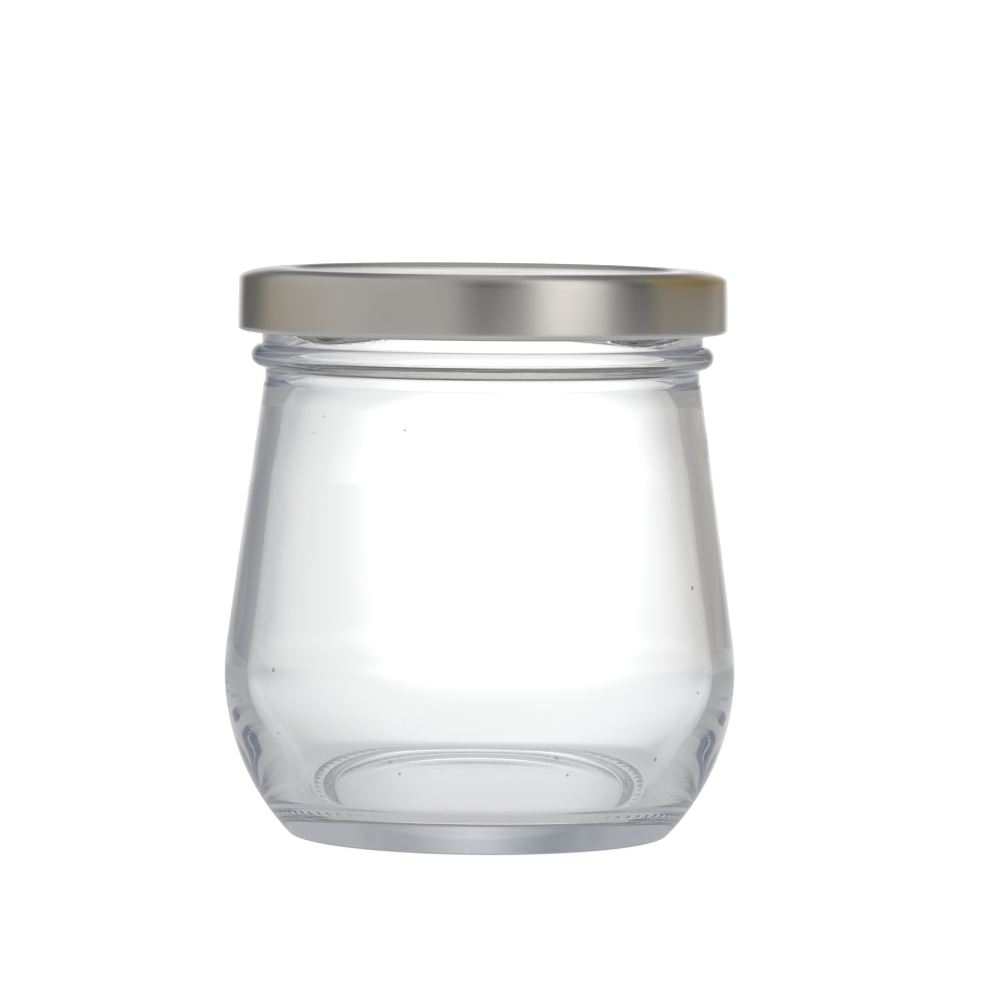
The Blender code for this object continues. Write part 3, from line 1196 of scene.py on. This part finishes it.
    @staticmethod
    def blend(
        tree: Tree,
        share: Socket,
        first: Socket | Colour,
        second: Socket | Colour,
    ) -> Socket:
        """The first colour where share is 0 and the second where it is 1.

        Args:
            tree: the nodes to add to.
            share: the mix.
            first: a colour or its socket.
            second: a colour or its socket.

        Returns:
            The mixed colour.
        """
        node = tree.nodes.new("ShaderNodeMix")
        node.data_type = "RGBA"
        tree.links.new(share, node.inputs["Factor"])
        for colour, slot in ((first, node.inputs[6]), (second, node.inputs[7])):
            feed(tree, (*colour, 1.0) if isinstance(colour, tuple) else colour, slot)
        return node.outputs[2]

    @staticmethod
    def sines(start_deg: float, end_deg: float) -> Pair:
        """The sines of two angles.

        Args:
            start_deg: first angle.
            end_deg: second angle.

        Returns:
            Both sines.
        """
        return math.sin(math.radians(start_deg)), math.sin(math.radians(end_deg))

    def wall_only(self, tree: Tree, ray: bpy.types.Node) -> Socket:
        """1 for light that has passed the glass wall alone and never the jar's hollow.

        Args:
            tree: the nodes to add to.
            ray: the light path's node.

        Returns:
            The share, 0 or 1.
        """
        crossings = ray.outputs["Transmission Depth"]
        some = calculate(tree, "GREATER_THAN", crossings, self.wall_crossings[0])
        few = calculate(tree, "LESS_THAN", crossings, self.wall_crossings[1])
        return calculate(tree, "MULTIPLY", some, few)

    def mirror_facing(self, tree: Tree, direction: Socket) -> tuple[Socket, Socket]:
        """How a surface faces that mirrors the room's direction to the photograph's viewer.

        The facing is halfway between the direction and the way back to the viewer.

        Args:
            tree: the nodes to add to.
            direction: the room's direction.

        Returns:
            The sine of the facing's elevation, and what an upright surface of its bearing mirrors.
        """
        facing = vector_step(tree, "SUBTRACT", direction, (0.0, 1.0, self.sight_drop))
        unit = vector_step(tree, "NORMALIZE", facing.outputs["Vector"]).outputs["Vector"]
        flat = vector_step(tree, "MULTIPLY", unit, (1.0, 1.0, 0.0))
        level = vector_step(tree, "REFLECT", (0.0, 1.0, 0.0), flat.outputs["Vector"])
        return parts_of(tree, unit)["Z"], level.outputs["Vector"]

    def light_room(self) -> None:
        """Light the scene from all round, with painted reflections for glossy rays off the tin and painted
        shade for light through the wall alone or trapped in the glass.
        """
        world = bpy.data.worlds.new("studio_room")
        world.use_nodes = True
        tree = world.node_tree
        direction = tree.nodes.new("ShaderNodeTexCoord").outputs["Generated"]
        parts = parts_of(tree, direction)
        bearing = self.bearing(tree, direction)
        room = self.tone(tree, bearing, self.behind_glass)
        # Painted reflections for the tin: each direction's tone follows the facing that would mirror it to
        # one fixed viewer.
        slope, level = self.mirror_facing(tree, direction)
        turned = self.bearing(tree, level)
        bands = (self.painted_skirt_reflection, self.painted_shoulder_reflection, self.painted_crest_reflection)
        skirt, shoulder, crest = (self.tone(tree, turned, stops) for stops in bands)
        over = self.smooth(tree, slope, *self.sines(*self.skirt_to_shoulder_deg))
        painted_reflection = self.blend(tree, over, skirt, shoulder)
        over = self.smooth(tree, slope, *self.sines(*self.shoulder_to_crest_deg))
        painted_reflection = self.blend(tree, over, painted_reflection, crest)
        ahead = self.smooth(tree, parts["Y"], *self.sines(*self.ahead_deg))
        painted_reflection = self.blend(tree, ahead, painted_reflection, self.backdrop)
        below = self.smooth(tree, parts["Z"], *self.sines(*self.below_deg))
        painted_reflection = self.blend(tree, below, painted_reflection, room)
        ray = tree.nodes.new("ShaderNodeLightPath")
        glossy, through = ray.outputs["Is Glossy Ray"], ray.outputs["Is Transmission Ray"]
        reflected = calculate(tree, "GREATER_THAN", glossy, through)
        # Glossy rays see the painted reflections, other rays the room.
        seen = self.blend(tree, reflected, room, painted_reflection)
        # Painted shade: light that crossed the wall alone sees darker tones.
        wall = self.tone(tree, bearing, self.painted_wall_shade_room)
        seen = self.blend(tree, self.wall_only(tree, ray), seen, wall)
        # Painted shade for light trapped in the glass.
        painted_trapped_shade = calculate(tree, "GREATER_THAN", ray.outputs["Ray Depth"], self.lost_after)
        seen = self.blend(tree, painted_trapped_shade, seen, self.painted_trapped_shade)
        seen = self.blend(tree, ray.outputs["Is Camera Ray"], seen, self.backdrop)
        tree.links.new(seen, tree.nodes["Background"].inputs["Color"])
        bpy.context.scene.world = world

    def lay_floor(self) -> None:
        """Lay the floor: white to the camera, and for other light painted shade by bearing and distance,
        with a painted shadow under the jar.
        """
        mesh = bpy.data.meshes.new("floor")
        turns = np.linspace(0.0, math.tau, self.floor_sides, endpoint=False)
        rim = np.column_stack((np.cos(turns), np.sin(turns), np.zeros_like(turns))) * self.floor_reach
        rim[:, 2] = self.floor_level
        mesh.from_pydata(rim.tolist(), [], [tuple(range(self.floor_sides))])
        floor = bpy.data.objects.new("floor", mesh)
        bpy.context.scene.collection.objects.link(floor)
        material, tree, shader = new_material("floor_white_painted_shade")
        place = tree.nodes.new("ShaderNodeTexCoord").outputs["Object"]
        reach = vector_step(tree, "LENGTH", place).outputs["Value"]
        beside = self.smooth(tree, reach, self.painted_shadow_reach, self.near_reach)
        away = self.smooth(tree, reach, self.clear_reach, self.far_reach)
        bearing = self.bearing(tree, place)
        near, room = (self.tone(tree, bearing, stops) for stops in (self.painted_shade_round_jar, self.behind_glass))
        # Painted shadow under the jar, painted shade round it, and the room's tones further off.
        colour = self.blend(tree, away, self.blend(tree, beside, self.painted_shadow_under_jar, near), room)
        ray = tree.nodes.new("ShaderNodeLightPath")
        # Painted shade on the floor for light through the wall alone.
        beyond = self.smooth(tree, reach, *self.painted_wall_shade_far_reach)
        clear = self.smooth(tree, reach, *self.painted_wall_shade_near_reach)
        low = self.blend(tree, clear, self.tone(tree, bearing, self.painted_wall_shade_near), self.painted_wall_shade_far)
        wall = self.blend(tree, beyond, low, self.tone(tree, bearing, self.painted_wall_shade_room))
        colour = self.blend(tree, self.wall_only(tree, ray), colour, wall)
        # Painted shade for light trapped in the glass.
        painted_trapped_shade = calculate(tree, "GREATER_THAN", ray.outputs["Ray Depth"], self.lost_after)
        colour = self.blend(tree, painted_trapped_shade, colour, self.painted_trapped_shade)
        colour = self.blend(tree, ray.outputs["Is Camera Ray"], colour, self.seen_floor)
        tree.links.new(colour, shader.inputs["Emission Color"])
        shader.inputs["Base Color"].default_value = (*self.floor_colour, 1.0)
        shader.inputs["Roughness"].default_value = self.floor_roughness
        shader.inputs["Specular IOR Level"].default_value = 0.0
        shader.inputs["Emission Strength"].default_value = self.floor_glow
        mesh.materials.append(material)

    def place_camera(self) -> None:
        """Stand the camera where the photograph was taken from."""
        data = bpy.data.cameras.new("camera")
        data.lens = self.focal_mm
        data.sensor_width = self.sensor_mm
        data.clip_start, data.clip_end = self.clip
        camera = bpy.data.objects.new("camera", data)
        turn = mathutils.Matrix.Rotation(math.radians(-self.camera_yaw_deg), 4, "Z")
        tilt = mathutils.Matrix.Rotation(math.radians(90.0 - self.camera_pitch_deg), 4, "X")
        spin = mathutils.Matrix.Rotation(math.radians(self.camera_roll_deg), 4, "Z")
        place = mathutils.Matrix.Translation((0.0, -self.camera_distance, self.camera_height))
        bpy.context.scene.collection.objects.link(camera)
        camera.matrix_world = place @ turn @ tilt @ spin
        bpy.context.scene.camera = camera

    def set_light_paths(self) -> None:
        """Let light cross the jar's walls as often as it needs to, and keep tones as they are."""
        scene = bpy.context.scene
        scene.view_settings.view_transform = "Standard"
        scene.view_settings.look = "None"
        scene.cycles.max_bounces = self.bounces
        scene.cycles.transmission_bounces = self.bounces
        scene.cycles.glossy_bounces = self.bounces
        scene.cycles.diffuse_bounces = self.diffuse_bounces

    def build(self) -> None:
        """Set up room, floor and camera."""
        self.light_room()
        self.lay_floor()
        self.place_camera()
        self.set_light_paths()


def main() -> None:
    """Build the studio, the jar, the lid and its seal in order."""
    logging.basicConfig(level=logging.INFO, format="%(message)s")
    Studio().build()
    for part in (GlassJar(), TwistLid(), SealRing()):
        part.build()


if __name__ == "__main__":
    main()
